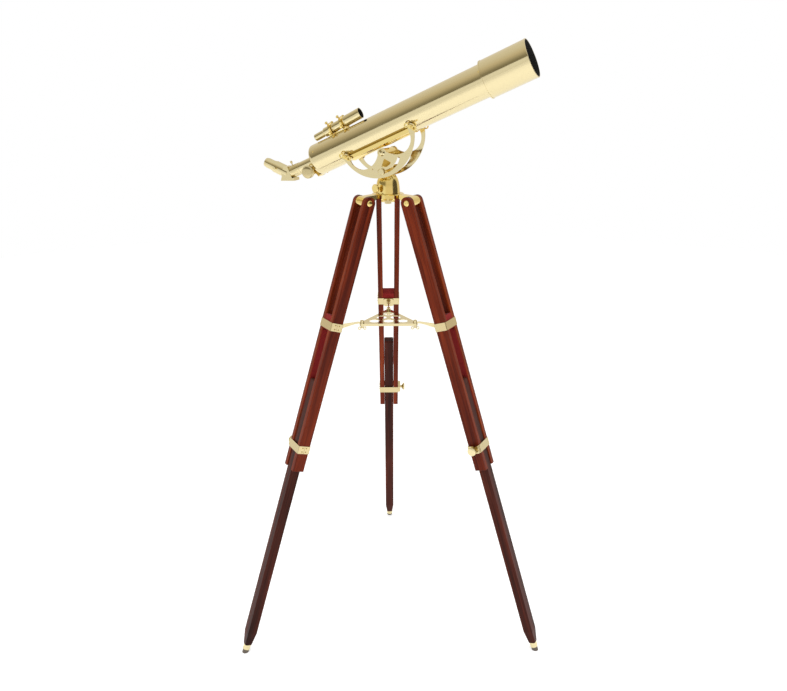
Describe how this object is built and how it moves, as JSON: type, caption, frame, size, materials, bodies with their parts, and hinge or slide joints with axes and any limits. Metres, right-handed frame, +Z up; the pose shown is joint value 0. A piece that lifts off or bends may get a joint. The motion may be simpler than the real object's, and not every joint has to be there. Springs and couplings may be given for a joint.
{
  "type": "telescope on a wooden tripod",
  "caption": "Polished brass refracting telescope in a yoke mount on a folding wooden tripod with sliding lower legs, felt-lined stops, clamp bands and a perforated accessory tray.",
  "frame": {"origin": "on the floor, under the tripod's vertical turning axis", "axes": "+Z up along the vertical turning axis; +Y towards the rear foot; the tube points towards +X, 21.6 degrees towards -Y and 23.6 degrees up"},
  "size_m": [0.9474, 0.8231, 1.8192],
  "materials": {
    "brass": "polished, lightly lacquered",
    "slat wood": "glossy dark mahogany",
    "dark wood": "glossy dark mahogany",
    "red felt": "felt",
    "rubber": "matte",
    "glass": "clear",
    "black paint": "matt black"
  },
  "bodies": {
    "head": {"tripod_head": "brass", "leg_pivot_bolts": "brass", "azimuth_spindle": "brass"},
    "leg_1": {"leg_1_slats": "slat wood", "leg_1_felt": "red felt", "leg_1_tray_band": "brass", "leg_1_clamp_band": "brass"},
    "leg_1_lower": {"leg_1_sliding_leg": "dark wood", "leg_1_ferrule": "brass", "leg_1_foot_tip": "rubber"},
    "leg_1_screw": {"leg_1_clamp_screw": "brass"},
    "leg_1_brace": {"leg_1_tray_brace": "brass"},
    "leg_2": {"leg_2_slats": "slat wood", "leg_2_felt": "red felt", "leg_2_tray_band": "brass", "leg_2_clamp_band": "brass"},
    "leg_2_lower": {"leg_2_sliding_leg": "dark wood", "leg_2_ferrule": "brass", "leg_2_foot_tip": "rubber"},
    "leg_2_screw": {"leg_2_clamp_screw": "brass"},
    "leg_2_brace": {"leg_2_tray_brace": "brass"},
    "leg_3": {"leg_3_slats": "slat wood", "leg_3_felt": "red felt", "leg_3_tray_band": "brass", "leg_3_clamp_band": "brass"},
    "leg_3_lower": {"leg_3_sliding_leg": "dark wood", "leg_3_ferrule": "brass", "leg_3_foot_tip": "rubber"},
    "leg_3_screw": {"leg_3_clamp_screw": "brass"},
    "leg_3_brace": {"leg_3_tray_brace": "brass"},
    "tray": {"tray": "brass", "tray_fasteners": "brass"},
    "mount": {"pedestal": "brass", "altitude_pivot_bolt": "brass"},
    "azimuth_lock": {"azimuth_lock_screw": "brass"},
    "telescope": {"yoke_plate_right": "brass", "yoke_plate_left": "brass", "saddle": "brass", "saddle_wing_nuts": "brass", "main_tube": "brass", "rear_cell": "brass", "objective_cell": "brass", "objective_lenses": "glass", "tube_baffles": "black paint", "pinion_housing": "brass", "finder_tube": "brass", "finder_lenses": "glass", "finder_bracket": "brass", "finder_screws": "brass"},
    "altitude_lock": {"altitude_lock_knob": "brass"},
    "dew_shield": {"dew_shield": "brass"},
    "drawtube": {"drawtube": "brass", "drawtube_adapter": "brass"},
    "focus_wheel": {"focus_pinion": "brass", "focus_knobs": "brass"},
    "diagonal": {"diagonal_body": "brass", "diagonal_prism": "glass", "eyepiece_clamp_screw": "brass"},
    "eyepiece": {"eyepiece_body": "brass", "eyepiece_lenses": "glass"}
  },
  "joints": [
    {"name": "leg_1_fold", "type": "hinge", "parent": "head", "child": "leg_1", "pos_m": [0, 0.08, 1.39], "axis": [-1, 0, 0], "range_deg": [0, 15]},
    {"name": "leg_1_brace_pin", "type": "hinge", "parent": "leg_1", "child": "leg_1_brace", "pos_m": [0, 0.16619, 1.02995], "axis": [-1, 0, 0], "range_deg": [0, 70.1]},
    {"name": "leg_1_extend", "type": "slide", "parent": "leg_1", "child": "leg_1_lower", "axis": [0, 0.3111, -0.9504], "range_m": [-0.15, 0.17]},
    {"name": "leg_1_clamp_turn", "type": "hinge", "parent": "leg_1", "child": "leg_1_screw", "pos_m": [0, 0.31488, 0.67246], "axis": [1, 0, 0], "range_deg": [0, 360]},
    {"name": "leg_2_fold", "type": "hinge", "parent": "head", "child": "leg_2", "pos_m": [-0.06928, -0.04, 1.39], "axis": [0.5, -0.866, 0], "range_deg": [0, 15.1]},
    {"name": "leg_2_brace_pin", "type": "hinge", "parent": "leg_2", "child": "leg_2_brace", "pos_m": [-0.14392, -0.08309, 1.02995], "axis": [0.5, -0.866, 0], "range_deg": [0, 70.1]},
    {"name": "leg_2_extend", "type": "slide", "parent": "leg_2", "child": "leg_2_lower", "axis": [-0.2694, -0.1555, -0.9504], "range_m": [-0.15, 0.17]},
    {"name": "leg_2_clamp_turn", "type": "hinge", "parent": "leg_2", "child": "leg_2_screw", "pos_m": [-0.27269, -0.15744, 0.67246], "axis": [-0.5, 0.866, 0], "range_deg": [0, 360]},
    {"name": "leg_3_fold", "type": "hinge", "parent": "head", "child": "leg_3", "pos_m": [0.06928, -0.04, 1.39], "axis": [0.5, 0.866, 0], "range_deg": [0, 15.1]},
    {"name": "leg_3_brace_pin", "type": "hinge", "parent": "leg_3", "child": "leg_3_brace", "pos_m": [0.14392, -0.08309, 1.02995], "axis": [0.5, 0.866, 0], "range_deg": [0, 70.1]},
    {"name": "leg_3_extend", "type": "slide", "parent": "leg_3", "child": "leg_3_lower", "axis": [0.2694, -0.1555, -0.9504], "range_m": [-0.15, 0.17]},
    {"name": "leg_3_clamp_turn", "type": "hinge", "parent": "leg_3", "child": "leg_3_screw", "pos_m": [0.27269, -0.15744, 0.67246], "axis": [-0.5, -0.866, 0], "range_deg": [0, 360]},
    {"name": "tray_drop", "type": "slide", "parent": "head", "child": "tray", "axis": [0, 0, -1], "range_m": [0, 0.0601]},
    {"name": "azimuth", "type": "hinge", "parent": "head", "child": "mount", "pos_m": [0, 0, 1.411], "axis": [0, 0, 1], "continuous": true},
    {"name": "azimuth_lock_turn", "type": "hinge", "parent": "mount", "child": "azimuth_lock", "pos_m": [0, 0, 1.428], "axis": [-0.7071, -0.7071, 0], "range_deg": [0, 360]},
    {"name": "altitude", "type": "hinge", "parent": "mount", "child": "telescope", "pos_m": [0, 0, 1.528], "axis": [-0.3681, -0.9298, 0], "range_deg": [-73.6, 26.4]},
    {"name": "altitude_lock_turn", "type": "hinge", "parent": "mount", "child": "altitude_lock", "pos_m": [0, 0, 1.476], "axis": [-0.3681, -0.9298, 0], "range_deg": [0, 360]},
    {"name": "dew_shield_slide", "type": "slide", "parent": "telescope", "child": "dew_shield", "axis": [0.852, -0.3373, 0.4003], "range_m": [0, 0.03]},
    {"name": "focus", "type": "slide", "parent": "telescope", "child": "drawtube", "axis": [-0.852, 0.3373, -0.4003], "range_m": [-0.015, 0.045]},
    {"name": "focus_knob_turn", "type": "hinge", "parent": "telescope", "child": "focus_wheel", "pos_m": [-0.22007, 0.08713, 1.4665], "axis": [0.3681, 0.9298, 0], "range_deg": [-435, 146]},
    {"name": "diagonal_turn", "type": "hinge", "parent": "drawtube", "child": "diagonal", "pos_m": [-0.28116, 0.11132, 1.46453], "axis": [0.852, -0.3373, 0.4003], "range_deg": [-100, 100]},
    {"name": "eyepiece_pull", "type": "slide", "parent": "diagonal", "child": "eyepiece", "axis": [-0.8657, 0.3427, 0.3649], "range_m": [0, 0.022]}
  ],
  "couplings": [
    {"joint": "leg_1_brace_pin", "follows": "leg_1_fold", "ratio": 4.667},
    {"joint": "leg_2_fold", "follows": "leg_1_fold", "ratio": 1},
    {"joint": "leg_2_brace_pin", "follows": "leg_1_fold", "ratio": 4.667},
    {"joint": "leg_3_fold", "follows": "leg_1_fold", "ratio": 1},
    {"joint": "leg_3_brace_pin", "follows": "leg_1_fold", "ratio": 4.667},
    {"joint": "tray_drop", "follows": "leg_1_fold", "m_per_rad": 0.22918},
    {"joint": "focus_knob_turn", "follows": "focus", "rad_per_m": -168.07}
  ]
}
